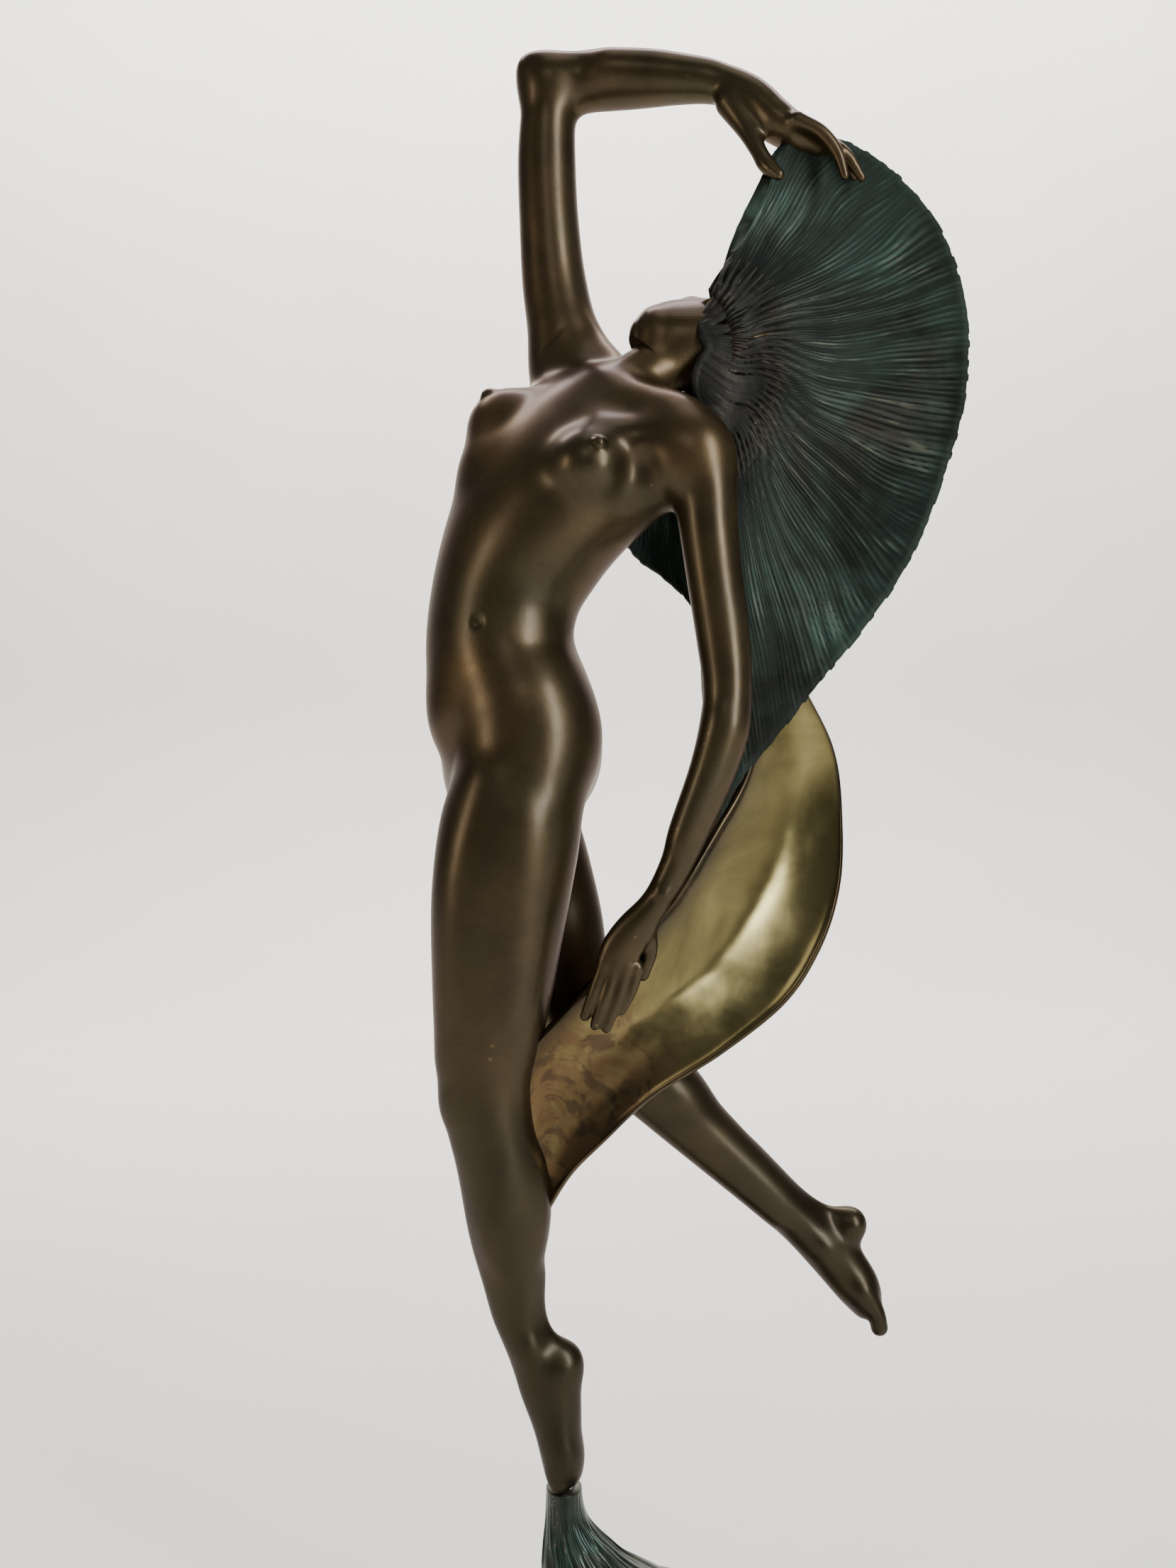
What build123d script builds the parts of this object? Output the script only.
"""Bronze dancer statuette on a marble plinth, in millimetres.

The figure stands on the toes of one foot and faces -X, turned a little towards -Y. One arm is
raised and holds a fan of hair, the other reaches down and holds a scarf that sweeps to the
standing knee. The figure is a set of separate castings, joined by pins and sleeves as a foundry
does it, and held on its base by a stud, a washer and a nut. +Z is up, and the origin is the
middle of the felt pad's underside.
"""

from build123d import *
import math
import os

# ---- Driving dimensions ----
PAD_RADIUS = 58.0
PAD_THICKNESS = 2.0
PLINTH_RADIUS = 62.0
PLINTH_HEIGHT = 20.0
PLINTH_BEVEL = 2.5
STEP_RADIUS = 33.5
STEP_HEIGHT = 18.0
STEP_BEVEL = 1.0
TOE_HEIGHT = 84.0  # where the toes meet the top of the column
CASTING_WALL = 3.5  # wall of the hollow castings
SLEEVE_WALL = 2.5
SLEEVE_REACH = 9.0  # how far a hip sleeve goes into each casting
SLEEVE_GAP = 0.5
PIN_RADIUS = 2.5
PIN_REACH = 8.5
PIN_GAP = 0.05
RIVET_RADIUS = 1.0
STUD_RADIUS = 2.5  # M5 stud
STUD_GAP = 0.1
STUD_REACH = 26.0  # how far the stud goes into the foot
NUT_POCKET_RADIUS = 5.6
NUT_POCKET_DEPTH = 7.0
SCREW_RADIUS = 2.5  # M5 screws
SCREW_GAP = 0.3
SCREW_CIRCLE_RADIUS = 14.0
SCREW_COUNT = 3
SCREW_GRIP = 7.0  # how far a screw goes into the mound
HEAD_POCKET_RADIUS = 6.0
HEAD_POCKET_DEPTH = 8.0
PLUG_RADIUS = 1.5
CORE_AXIS = (-43, 2)  # X and Y of the trunk's core
CORE_PINS = [(370, 200), (370, 20), (406, 215), (406, 35)]  # height and heading of each plug

PAD_TOP = PAD_THICKNESS
PLINTH_TOP = PAD_TOP + PLINTH_HEIGHT
STEP_TOP = PLINTH_TOP + STEP_HEIGHT
NUT_SEAT = STEP_TOP + NUT_POCKET_DEPTH
SCREW_SEAT = PAD_TOP + HEAD_POCKET_DEPTH
TOES = (-24.0, -4.0)  # X and Y of the toes
STUD = (-22.5, -4.0)  # X and Y of the foot stud

VIEW_SIDE = Vector(0, -1, 0)
DOWN = Vector(0, 0, -1)
SECTION_POINTS = 12
BLOB_SECTIONS = 9
BLOB_POLE = math.radians(86)

os.makedirs("parts", exist_ok=True)


# ---- Tools ----
def write(name, shape):
    """One node's STEP file."""
    export_step(shape, f"parts/{name}.step")


def facing(yaw):
    """The level direction that is turned yaw degrees from -X towards -Y."""
    angle = math.radians(yaw)
    return Vector(-math.cos(angle), -math.sin(angle), 0)


def closed_section(centre, along, front, half_width, half_depth):
    """An oval face across a limb: half_depth towards front, half_width sideways."""
    side = along.cross(front).normalized()
    ahead = side.cross(along).normalized()
    points = []
    for i in range(SECTION_POINTS):
        angle = 2 * math.pi * i / SECTION_POINTS
        offset = side * (half_width * math.cos(angle)) + ahead * (half_depth * math.sin(angle))
        points.append(centre + offset)
    return Face(Wire([Spline(*points, periodic=True)]))


def directions(places, first=None, last=None):
    """The limb's direction at each of its sections."""
    found = []
    for i in range(len(places)):
        before, after = places[max(i - 1, 0)], places[min(i + 1, len(places) - 1)]
        found.append((after - before).normalized())
    if first is not None:
        found[0] = first.normalized()
    if last is not None:
        found[-1] = last.normalized()
    return found


def limb(sections, front=VIEW_SIDE, shrink=0.0, first=None, last=None):
    """A smooth solid through (x, y, z, half_width, half_depth[, yaw]) sections."""
    places = [Vector(*s[:3]) for s in sections]
    faces = []
    for place, along, s in zip(places, directions(places, first, last), sections):
        ahead = facing(s[5]) if len(s) > 5 else front
        faces.append(closed_section(place, along, ahead, s[3] - shrink, s[4] - shrink))
    return loft(faces)


def stack(sections):
    """A smooth solid through level (x, y, z, half_x, half_y) sections."""
    return loft([closed_section(Vector(*s[:3]), DOWN, VIEW_SIDE, *s[3:]) for s in sections])


def blob(centre, radii):
    """An ellipsoid with its radii along X, Y and Z, and very small flat poles."""
    x, y, z = centre
    sections = []
    for i in range(BLOB_SECTIONS):
        angle = BLOB_POLE * (2 * i / (BLOB_SECTIONS - 1) - 1)
        size = math.cos(angle)
        sections.append((x, y, z - radii[2] * math.sin(angle), radii[0] * size, radii[1] * size))
    return stack(sections)


def rod(start, end, radius):
    """A round bar between two points."""
    start, end = Vector(*start), Vector(*end)
    base = Plane(origin=start, z_dir=(end - start).normalized())
    height = (end - start).length
    return base * Cylinder(radius, height, align=(Align.CENTER, Align.CENTER, Align.MIN))


def without(shape, *others):
    """shape with the room of the others taken out, and only its largest solid kept."""
    for other in others:
        shape = shape - other
    return max(shape.solids(), key=lambda s: s.volume)


def strip(inner, outer, bulge, inner_thick, outer_thick):
    """A thin curved face from one edge of a sheet to the other, bulged towards +Y."""
    inner, outer = Vector(*inner), Vector(*outer)
    front, back = [], []
    for share in (0.0, 0.25, 0.5, 0.75, 1.0):
        middle = inner + (outer - inner) * share + Vector(0, bulge * 4 * share * (1 - share), 0)
        half = (inner_thick + (outer_thick - inner_thick) * share) / 2
        front.append(middle - Vector(0, half, 0))
        back.append(middle + Vector(0, half, 0))
    back.reverse()
    edges = [
        Spline(*front),
        Line(front[-1], back[0]),
        Spline(*back),
        Line(back[-1], front[0]),
    ]
    return Face(Wire(edges))


def sheet(strips, bulges, inner_thick, outer_thick):
    """A curved sheet through strips of (inner edge point, outer edge point)."""
    faces = []
    for (inner, outer), bulge in zip(strips, bulges):
        faces.append(strip(inner, outer, bulge, inner_thick, outer_thick))
    return loft(faces)


def ring_places(count, radius):
    """Places evenly round a circle on the plinth's axis."""
    turns = [2 * math.pi * i / count for i in range(count)]
    return [(radius * math.cos(t), radius * math.sin(t)) for t in turns]


SCREW_PLACES = ring_places(SCREW_COUNT, SCREW_CIRCLE_RADIUS)

# ---- Sections of the body: x, y, z, half width, half depth, and yaw on the trunk ----
TRUNK = [
    (-40, 4, 327, 22, 16, 20),
    (-40, 4, 340, 37, 26, 20),
    (-43, 3, 360, 36, 27, 22),
    (-47, 2, 379, 29, 23.5, 26),
    (-45, 2, 398, 29, 23, 28),
    (-38, 1, 417, 34, 24.5, 30),
    (-28, 0, 435, 38, 26, 32),
    (-16, 0, 452, 35, 22, 34),
    (-6, 0, 464, 22, 16, 34),
]
BREASTS = [((-45, 9, 462), (13, 13, 12)), ((-14, -25, 438), (13, 13, 13))]
NECK_SEAM = (8, 2, 476)
NECK = [(-9, 0, 460, 15, 14), (0, 0.5, 469, 12, 12), (*NECK_SEAM, 10.5, 11)]
UPPER_NECK = [(*NECK_SEAM, 10.5, 11), (16, 4, 481, 10.5, 11), (24, 6, 484, 11, 11)]
NECK_AXIS = Vector(8, 2, 6)

LEFT_HIP_SEAM = (-43, -16, 315)
LEFT_HIP_AXIS = Vector(-0.1, -0.02, -1)
LEFT_HIP = [(-40, -8, 348, 21, 16), (-41.5, -14.5, 328, 25, 19), (*LEFT_HIP_SEAM, 24.5, 19.5)]
RIGHT_HIP_SEAM = (-40, 24, 315)
RIGHT_HIP_AXIS = Vector(0.2, 0, -1)
RIGHT_HIP = [(-43, 16, 348, 21, 16), (-42.5, 22.5, 328, 21.5, 18), (*RIGHT_HIP_SEAM, 21, 18)]

RIGHT_SHOULDER_SEAM = (-25, 28, 498)
RIGHT_SHOULDER_AXIS = Vector(-0.1, 0.05, 1)
RIGHT_SHOULDER = [
    (-11, 8, 458, 20, 13),
    (-17, 19, 473, 19, 13),
    (-22, 26, 486, 16, 13),
    (*RIGHT_SHOULDER_SEAM, 13, 12.5),
]
LEFT_SHOULDER_SEAM = (23.5, -28, 432)
LEFT_SHOULDER_AXIS = Vector(0.12, -0.03, -1)
LEFT_SHOULDER = [
    (-5, -4, 458, 13, 14),
    (7, -16, 454, 13, 12.5),
    (18, -25, 446, 12.5, 12),
    (*LEFT_SHOULDER_SEAM, 10.5, 11),
]

STANDING_LEG = [
    (*LEFT_HIP_SEAM, 24.5, 19.5),
    (-45, -15.5, 295, 23.5, 19),
    (-47, -14, 276, 22, 18.5),
    (-49, -13, 249, 19, 17),
    (-51, -12, 227, 15.8, 15),
    (-49, -12, 211, 14.5, 14),
    (-46, -11, 197, 14.6, 13.5),
    (-44, -9, 178, 13.2, 12.5),
    (-43, -7, 161, 10.6, 10.5),
    (-41, -5, 145, 8.6, 8.5),
    (-37, -4, 133, 8.6, 8),
    (-30, -4, 118, 10.2, 8.3),
    (-25.5, -4, 102, 7.8, 9.2),
    (*TOES, TOE_HEIGHT + 6, 6.7, 9.6),
    (*TOES, TOE_HEIGHT, 6.4, 9),
]
STANDING_HEEL = ((-23, -4, 127), (6.5, 6.5, 8))

TRAILING_LEG = [
    (*RIGHT_HIP_SEAM, 21, 18),
    (-35, 24, 298, 20.5, 18),
    (-29, 23, 280, 18.8, 17),
    (-22.5, 22, 260, 15.5, 15.3),
    (-16, 22, 245, 13.8, 14.2),
    (-4, 24, 231, 13.4, 13.5),
    (13, 27, 215, 12.4, 12.8),
    (32, 30, 197, 10.8, 11.2),
    (50, 32, 180, 9.2, 9.6),
    (64, 34, 166, 8.2, 8.4),
    (73, 35, 157, 8.8, 8),
    (81, 36, 148, 9, 8.2),
    (87.5, 36, 138, 8, 9.4),
    (91, 36, 130, 5.4, 8.4),
    (92.5, 36, 125.5, 2.2, 5),
]
TRAILING_HEEL = ((83, 35, 165.5), (5.8, 6.3, 6.6))

RAISED_UPPER_ARM = [
    (*RIGHT_SHOULDER_SEAM, 13, 12.5),
    (-28, 30, 515, 11.8, 11.5),
    (-30, 31, 538, 10.9, 11),
    (-31, 32, 564, 10.6, 10.3),
    (-30, 32, 589, 9.5, 10),
]
RAISED_ELBOW = ((-29, 32, 590.5), (11, 10.2, 11))
RAISED_FOREARM = [
    (-30, 32, 590, 10.6, 10),
    (-15, 31.5, 591, 10.8, 10),
    (1, 29, 590.5, 10.2, 9.6),
    (17, 24, 588.5, 8.7, 8.4),
    (32, 18, 584.5, 7.3, 7.4),
    (43, 13, 578.5, 7.4, 8.2),
    (54, 10, 569.5, 7.4, 8.6),
    (63, 8, 562.5, 5.4, 8.8),
    (70, 7, 555.5, 3.4, 8.6),
    (74, 6, 547, 2.4, 7.5),
]
RAISED_THUMB = [
    (34, 12, 581, 3.4, 5),
    (38, 7, 571, 4.6, 4.6),
    (43, 1.5, 559, 3.6, 3.8),
    (47, -1.5, 549, 2.8, 3),
    (51, -3, 542, 1.8, 2),
]

LOWERED_UPPER_ARM = [
    (*LEFT_SHOULDER_SEAM, 10.5, 11),
    (24.8, -28.5, 417, 9.8, 10.3),
    (27, -29.5, 398, 9.2, 9.6),
    (29.5, -30, 380, 8.8, 9),
    (31.5, -31, 357, 7.4, 8),
]
LOWERED_FOREARM = [
    (33, -31, 362, 6.4, 7.4),
    (30.5, -31, 349, 7.4, 8),
    (26.5, -30.5, 334, 7, 7.4),
    (20.5, -29.5, 319, 6.3, 6.7),
    (14, -28.5, 303, 5.5, 5.9),
    (6.5, -27.5, 289.5, 5, 5.2),
    (-0.5, -26.5, 280.5, 6.4, 4.8),
    (-7, -25.5, 272, 7.4, 4.4),
    (-12.5, -24.5, 264, 6.4, 3.6),
    (-16.5, -23.5, 258, 4.6, 2.6),
]

# Head: from the chin, which points to -X, to the crown.
HEAD = [
    (0.8, 1.6, 488.5, 5, 4.6),
    (4, 2, 488.5, 8.5, 8),
    (10, 3, 488, 10.5, 11),
    (18, 4.5, 487, 12.8, 14),
    (26, 7, 486, 16.2, 16),
    (34, 9, 485, 18.2, 17),
    (42, 10, 484, 17.2, 16),
    (48, 10.5, 483.5, 13.5, 12.8),
    (52.5, 10.5, 483, 7, 7),
]

# The hair fan: inner edge near the scalp, outer edge on the rim, from the raised hand round.
HAIR = [
    ((27, -3, 501), (48, 4, 542)),
    ((30, -6, 497), (72, 9, 559)),
    ((32, -8, 492), (94, 10, 550)),
    ((33, -9, 488), (112, 8, 526)),
    ((33, -9, 484), (119, 5, 498)),
    ((33, -9, 480), (119, 4, 472)),
    ((32, -8, 476), (112, 3, 443)),
    ((31, -7, 472), (96, 2, 405)),
    ((30.5, -6, 470), (82, 0, 385)),
    ((30, -5, 468), (67, -3, 367)),
    ((29, -3.5, 466), (53, -8, 350)),
    ((28, -2, 464), (40, -14, 335)),
    ((25, 2, 462), (28, -18, 319)),
    ((21, 6, 460), (31, 2, 363)),
    ((16, 12, 459), (24, 12, 388)),
    ((10, 17, 458), (13, 20, 401)),
    ((4, 20, 457), (0, 26, 409)),
]
HAIR_BULGES = [4, 9, 12, 13, 13, 13, 13, 12, 12, 11, 10, 9, 8, 7, 6, 4, 3]
HAIR_INNER_THICK = 7.0
HAIR_RIM_THICK = 3.4
HAIR_CAP = [
    (22, 14, 485, 11, 10),
    (27, 14, 485, 17, 15.5),
    (35, 14, 484.5, 20, 18),
    (45, 14, 484, 18.5, 17),
    (52, 13.5, 483, 13.5, 13),
    (57, 13, 482.5, 6, 6),
]

# The scarf: inner edge along the forearm and hand, outer edge on the rim.
SCARF = [
    ((42, -9, 344), (60, 1, 366)),
    ((37, -10, 330), (72, 9, 344)),
    ((28, -14, 315), (76, 12, 318)),
    ((20, -18, 302), (75, 11, 293)),
    ((11, -20.5, 289), (67, 7, 270)),
    ((1, -21.5, 278), (53, 2, 251)),
    ((-8, -21.5, 269), (31, -4, 235)),
    ((-17, -20.5, 260), (7, -9, 221)),
    ((-26, -18.5, 250), (-10, -12, 206)),
    ((-36, -17, 238), (-21, -12, 195)),
    ((-38.5, -15, 224), (-28, -11, 184)),
    ((-39.5, -13, 208), (-32, -10, 176)),
]
SCARF_BULGES = [3, 6, 9, 11, 11, 10, 8, 6, 5, 4, 3, 2]
SCARF_THICK = 2.8


# The mound: level sections, from the toes down to the step.
MOUND = [
    (*TOES, TOE_HEIGHT, 6.2, 9.2),
    (-23.75, -4, 78, 6.55, 9.5),
    (-23, -4, 73, 7.5, 10.2),
    (-21.4, -4, 68, 9.4, 11.6),
    (-19, -4, 63, 12, 13.5),
    (-16.2, -4, 58, 15.2, 16.2),
    (-12.8, -3.5, 54, 18.8, 19),
    (-9.5, -3, 50, 22.5, 22.3),
    (-6.6, -2.5, 46, 25.6, 25),
    (-4.9, -2.2, 43, 27.4, 27),
    (-4, -2, STEP_TOP, 28.4, 28.2),
]


# ---- Base ----
def upright(place, bottom, top, radius):
    """A vertical bar at an (x, y) place."""
    return rod((*place, bottom), (*place, top), radius)


def make_pad():
    return upright((0, 0), 0, PAD_TOP, PAD_RADIUS)


def make_plinth():
    """The lower marble disc, counterbored from below for the base screws."""
    disc = upright((0, 0), PAD_TOP, PLINTH_TOP, PLINTH_RADIUS)
    disc = chamfer(disc.edges().group_by(Axis.Z)[-1], PLINTH_BEVEL)
    for place in SCREW_PLACES:
        disc -= upright(place, PAD_TOP - 1, PLINTH_TOP + 1, SCREW_RADIUS + SCREW_GAP)
        disc -= upright(place, PAD_TOP - 1, SCREW_SEAT, HEAD_POCKET_RADIUS)
    return disc


def make_step():
    """The upper marble disc, which the mound stands on."""
    disc = upright((0, 0), PLINTH_TOP, STEP_TOP, STEP_RADIUS)
    disc = chamfer(disc.edges().group_by(Axis.Z)[-1], STEP_BEVEL)
    for place in SCREW_PLACES:
        disc -= upright(place, PLINTH_TOP - 1, STEP_TOP + 1, SCREW_RADIUS + SCREW_GAP)
    return disc


def make_mound():
    """The green base casting, which sweeps up from the step to the toes."""
    mound = stack(MOUND)
    for place in SCREW_PLACES:
        mound -= upright(place, STEP_TOP - 1, STEP_TOP + SCREW_GRIP + 1, SCREW_RADIUS + PIN_GAP)
    mound -= upright(STUD, STEP_TOP - 1, NUT_SEAT, NUT_POCKET_RADIUS)
    mound -= upright(STUD, STEP_TOP - 1, TOE_HEIGHT + 1, STUD_RADIUS + STUD_GAP)
    return mound.solid()


def make_base_screws():
    """Socket-head screws that come up through both marble discs into the mound."""
    screws = []
    for place in SCREW_PLACES:
        head = upright(place, SCREW_SEAT - 6, SCREW_SEAT - 1, 4.25)
        shank = upright(place, SCREW_SEAT - 1, STEP_TOP + SCREW_GRIP, SCREW_RADIUS)
        socket = Pos(*place, SCREW_SEAT - 6) * extrude(RegularPolygon(2.3, 6), 2.5)
        screws.append((head + shank - socket).solid())
    return Compound(screws)


def make_screw_washers():
    washers = []
    for place in SCREW_PLACES:
        disc = upright(place, SCREW_SEAT - 1, SCREW_SEAT, 5.0)
        hole = upright(place, SCREW_SEAT - 2, SCREW_SEAT + 1, SCREW_RADIUS + PIN_GAP)
        washers.append((disc - hole).solid())
    return Compound(washers)


def make_stud():
    return upright(STUD, STEP_TOP + 0.5, TOE_HEIGHT + STUD_REACH, STUD_RADIUS)


def make_stud_washer():
    disc = upright(STUD, NUT_SEAT - 1, NUT_SEAT, 5.0)
    return disc - upright(STUD, STEP_TOP, NUT_SEAT + 1, STUD_RADIUS + PIN_GAP)


def make_stud_nut():
    nut = Pos(*STUD, NUT_SEAT - 5) * extrude(RegularPolygon(4.62, 6), 4)
    return nut - upright(STUD, STEP_TOP, NUT_SEAT, STUD_RADIUS + PIN_GAP)


# ---- Castings ----
def make_trunk_outside():
    """The trunk with the stumps that the head, arms and legs join."""
    trunk = limb(TRUNK)
    trunk += limb(NECK, last=NECK_AXIS)
    trunk += limb(LEFT_HIP, last=LEFT_HIP_AXIS)
    trunk += limb(RIGHT_HIP, last=RIGHT_HIP_AXIS)
    trunk += limb(RIGHT_SHOULDER, last=RIGHT_SHOULDER_AXIS)
    trunk += limb(LEFT_SHOULDER, last=LEFT_SHOULDER_AXIS)
    for breast in BREASTS:
        trunk += blob(*breast)
    return trunk


def hip_hollow(seam, axis, half_width, half_depth, rise, drop):
    """The straight hollow that crosses a hip seam."""
    seam, axis = Vector(*seam), axis.normalized()
    start, end = seam - axis * rise, seam + axis * drop
    sections = [
        (*start, half_width, half_depth),
        (*seam, half_width, half_depth),
        (*end, half_width, half_depth),
    ]
    return limb(sections, first=axis, last=axis)


def hip_sizes(sections):
    """Half width and half depth of the hollow at a hip seam."""
    return sections[-1][3] - CASTING_WALL, sections[-1][4] - CASTING_WALL


def make_hip_sleeve(seam, axis, sections):
    """A ring that joins the hollow trunk to a hollow thigh."""
    width, depth = hip_sizes(sections)
    width, depth = width - SLEEVE_GAP, depth - SLEEVE_GAP
    outside = hip_hollow(seam, axis, width, depth, SLEEVE_REACH, SLEEVE_REACH)
    long_reach = SLEEVE_REACH + 1
    inside = hip_hollow(
        seam, axis, width - SLEEVE_WALL, depth - SLEEVE_WALL, long_reach, long_reach
    )
    return outside - inside


def make_torso():
    """The hollow trunk casting, the core plugs that close its core-pin holes, and its outside."""
    outside = make_trunk_outside()
    hollow = limb(TRUNK[1:-1], shrink=CASTING_WALL)
    hollow += hip_hollow(LEFT_HIP_SEAM, LEFT_HIP_AXIS, *hip_sizes(LEFT_HIP), 24, 1)
    hollow += hip_hollow(RIGHT_HIP_SEAM, RIGHT_HIP_AXIS, *hip_sizes(RIGHT_HIP), 24, 1)
    shell = outside - hollow
    plugs = []
    for height, heading in CORE_PINS:
        reach = Vector(60, 0, 0).rotate(Axis.Z, heading)
        start = Vector(*CORE_AXIS, height)
        bar = rod(start, start + reach, PLUG_RADIUS)
        plugs.append(max((bar & shell).solids(), key=lambda s: s.volume))
        shell -= bar
    return max(shell.solids(), key=lambda s: s.volume), Compound(plugs), outside


def make_standing_leg():
    leg = limb(STANDING_LEG, first=LEFT_HIP_AXIS, last=DOWN)
    leg += blob(*STANDING_HEEL)
    width, depth = hip_sizes(LEFT_HIP)
    hollow = hip_hollow(LEFT_HIP_SEAM, LEFT_HIP_AXIS, width, depth, 1, 12)
    hollow += limb(STANDING_LEG[:4], shrink=CASTING_WALL + 0.5, first=LEFT_HIP_AXIS)
    bore = upright(STUD, TOE_HEIGHT - 1, TOE_HEIGHT + STUD_REACH, STUD_RADIUS + STUD_GAP)
    return (leg - hollow - bore).solid()


def make_trailing_leg():
    leg = limb(TRAILING_LEG, first=RIGHT_HIP_AXIS)
    leg += blob(*TRAILING_HEEL)
    width, depth = hip_sizes(RIGHT_HIP)
    hollow = hip_hollow(RIGHT_HIP_SEAM, RIGHT_HIP_AXIS, width, depth, 1, 12)
    hollow += limb(TRAILING_LEG[:4], shrink=CASTING_WALL + 0.5, first=RIGHT_HIP_AXIS)
    return (leg - hollow).solid()


def make_raised_arm():
    arm = limb(RAISED_UPPER_ARM, first=RIGHT_SHOULDER_AXIS) + blob(*RAISED_ELBOW)
    arm += limb(RAISED_FOREARM)
    arm += limb(RAISED_THUMB)
    return arm.solid()


def make_lowered_arm():
    arm = limb(LOWERED_UPPER_ARM, first=LEFT_SHOULDER_AXIS) + limb(LOWERED_FOREARM)
    return arm.solid()


def make_head(torso, arm):
    head = limb(HEAD) + limb(UPPER_NECK, first=NECK_AXIS)
    return without(head, torso, arm)


def make_hair(*neighbours):
    fan = sheet(HAIR, HAIR_BULGES, HAIR_INNER_THICK, HAIR_RIM_THICK)
    fan += limb(HAIR_CAP)
    return without(fan, *neighbours)


def make_scarf(*neighbours):
    ribbon = sheet(SCARF, SCARF_BULGES, SCARF_THICK, SCARF_THICK)
    return without(ribbon, *neighbours)


def seam_pin(seam, axis):
    """The ends and the radius of a pin that crosses a seam."""
    seam, axis = Vector(*seam), axis.normalized()
    return seam - axis * PIN_REACH, seam + axis * PIN_REACH, PIN_RADIUS


SHOULDER_PINS = [
    seam_pin(RIGHT_SHOULDER_SEAM, RIGHT_SHOULDER_AXIS),
    seam_pin(LEFT_SHOULDER_SEAM, LEFT_SHOULDER_AXIS),
]
NECK_PIN = seam_pin(NECK_SEAM, NECK_AXIS)
HAIR_HAND_RIVET = ((62, 9.8, 560), (77, 11.4, 550.5), RIVET_RADIUS)
HAIR_HEAD_RIVET = ((41, 9.5, 486), (61, 7.5, 487), RIVET_RADIUS)
SCARF_HAND_RIVET = ((-3, -27, 277), (-3, -20.5, 277), RIVET_RADIUS)
SCARF_KNEE_RIVET = ((-46, -13.5, 222), (-27, -15, 222), RIVET_RADIUS)


def pinned(name, pin, *castings):
    """Writes a pin, and gives back the castings with its hole drilled in them."""
    start, end, radius = pin
    write(name, rod(start, end, radius))
    hole = rod(start, end, radius + PIN_GAP)
    return [casting - hole for casting in castings]


def main():
    torso, plugs, outside = make_torso()
    standing_leg = make_standing_leg()
    trailing_leg = make_trailing_leg()
    raised_arm = make_raised_arm()
    lowered_arm = make_lowered_arm()
    head = make_head(outside, lowered_arm)
    hair = make_hair(outside, lowered_arm, raised_arm, head)
    scarf = make_scarf(standing_leg, lowered_arm, trailing_leg, hair)

    torso, raised_arm = pinned("right_shoulder_pin", SHOULDER_PINS[0], torso, raised_arm)
    torso, lowered_arm = pinned("left_shoulder_pin", SHOULDER_PINS[1], torso, lowered_arm)
    torso, head = pinned("neck_pin", NECK_PIN, torso, head)
    raised_arm, hair = pinned("hair_hand_rivet", HAIR_HAND_RIVET, raised_arm, hair)
    head, hair = pinned("hair_head_rivet", HAIR_HEAD_RIVET, head, hair)
    lowered_arm, scarf = pinned("scarf_hand_rivet", SCARF_HAND_RIVET, lowered_arm, scarf)
    standing_leg, scarf = pinned("scarf_knee_rivet", SCARF_KNEE_RIVET, standing_leg, scarf)

    write("felt_pad", make_pad())
    write("marble_plinth", make_plinth())
    write("marble_step", make_step())
    write("base_mound", make_mound())
    write("base_screws", make_base_screws())
    write("base_screw_washers", make_screw_washers())
    write("foot_stud", make_stud())
    write("stud_washer", make_stud_washer())
    write("stud_nut", make_stud_nut())
    write("torso", torso)
    write("core_plugs", plugs)
    write("left_hip_sleeve", make_hip_sleeve(LEFT_HIP_SEAM, LEFT_HIP_AXIS, LEFT_HIP))
    write("right_hip_sleeve", make_hip_sleeve(RIGHT_HIP_SEAM, RIGHT_HIP_AXIS, RIGHT_HIP))
    write("standing_leg", standing_leg)
    write("trailing_leg", trailing_leg)
    write("raised_arm", raised_arm)
    write("lowered_arm", lowered_arm)
    write("head", head)
    write("hair_fan", hair)
    write("scarf", scarf)


main()
